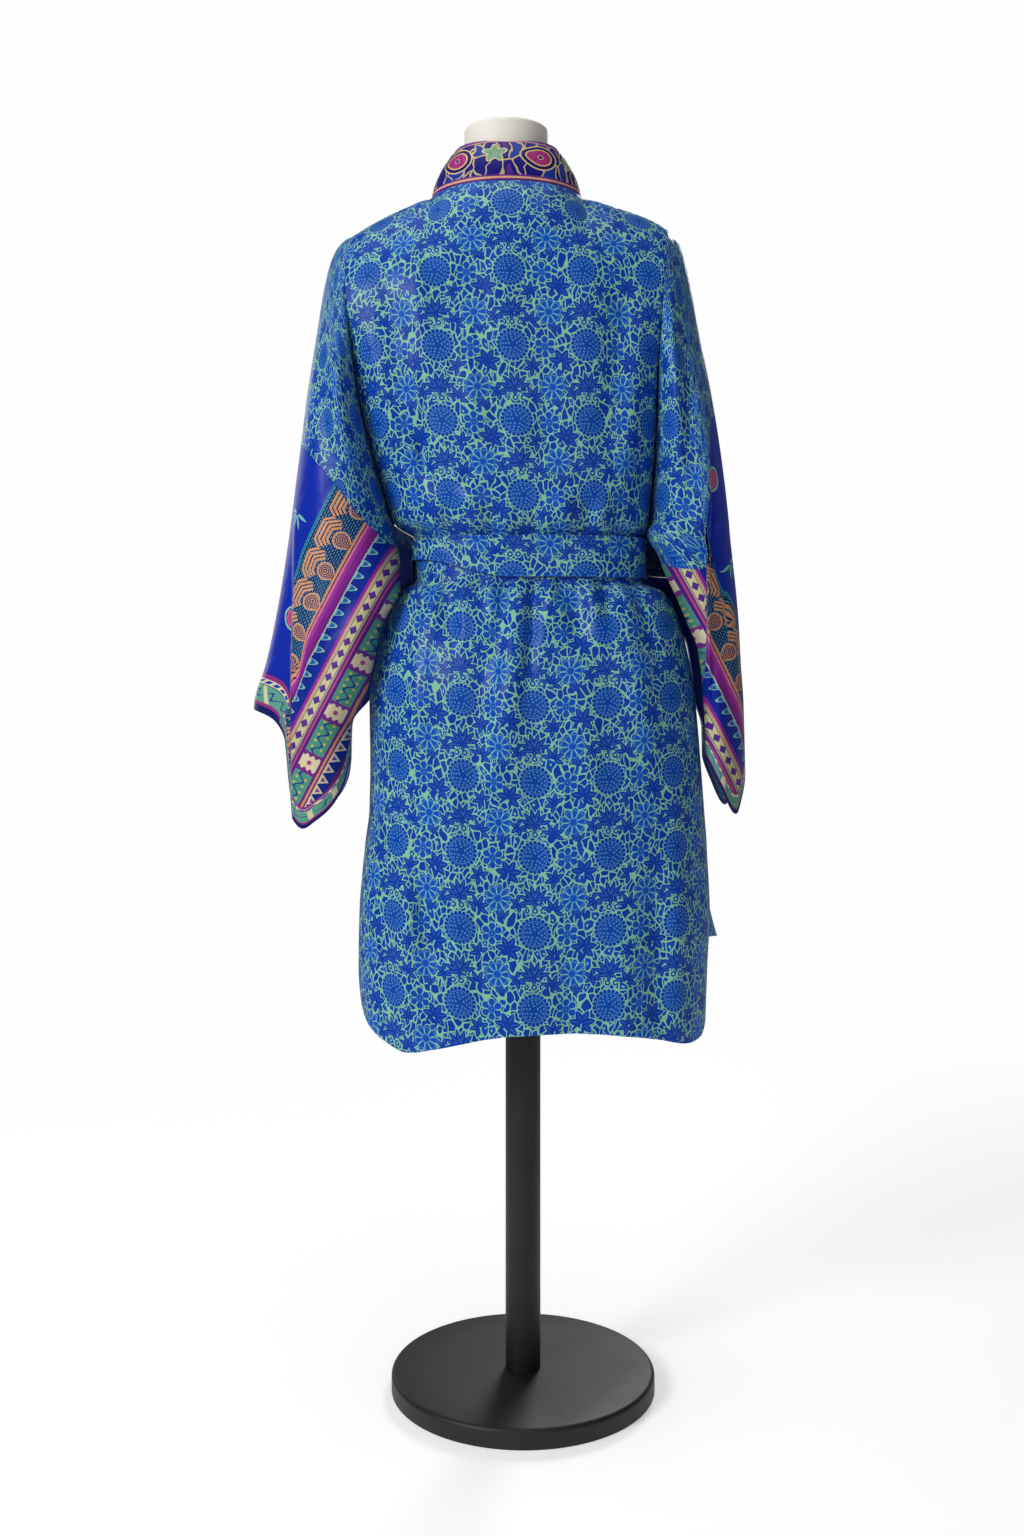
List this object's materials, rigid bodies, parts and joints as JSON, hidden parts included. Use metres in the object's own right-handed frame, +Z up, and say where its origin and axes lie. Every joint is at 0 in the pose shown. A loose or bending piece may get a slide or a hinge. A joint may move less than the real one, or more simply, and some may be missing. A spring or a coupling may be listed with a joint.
{
  "type": "kimono robe on a limbless dress form",
  "caption": "Short belted kimono robe in blue floral satin with patterned sleeve borders, resting on a limbless dress form with a round stand.",
  "frame": {"origin": "middle of the underside of the round base", "axes": "+Z up along the pole; the garment faces -Y and its wearer's left side is +X"},
  "size_m": [0.5613, 0.3, 1.437],
  "materials": {
    "stand_black": "satin black paint",
    "form_cloth": "cream jersey cover",
    "neck_cap": "smooth ivory cap",
    "floral_satin": "printed satin, cobalt flowers on mint",
    "collar_satin": "printed satin, violet band with rosettes",
    "border_satin": "printed satin, lengthwise paisley and stripe border"
  },
  "bodies": {
    "root": {"stand_base": "stand_black", "stand_pole": "stand_black", "form_torso": "form_cloth", "form_neck": "neck_cap", "back": "floral_satin", "front_left": "floral_satin", "front_right": "floral_satin", "neckband": "collar_satin", "sleeve_left": "floral_satin", "sleeve_right": "floral_satin", "sleeve_band_left": "border_satin", "sleeve_band_right": "border_satin", "belt": "floral_satin", "belt_knot": "floral_satin", "belt_tail_a": "floral_satin", "belt_tail_b": "floral_satin"}
  },
  "joints": []
}
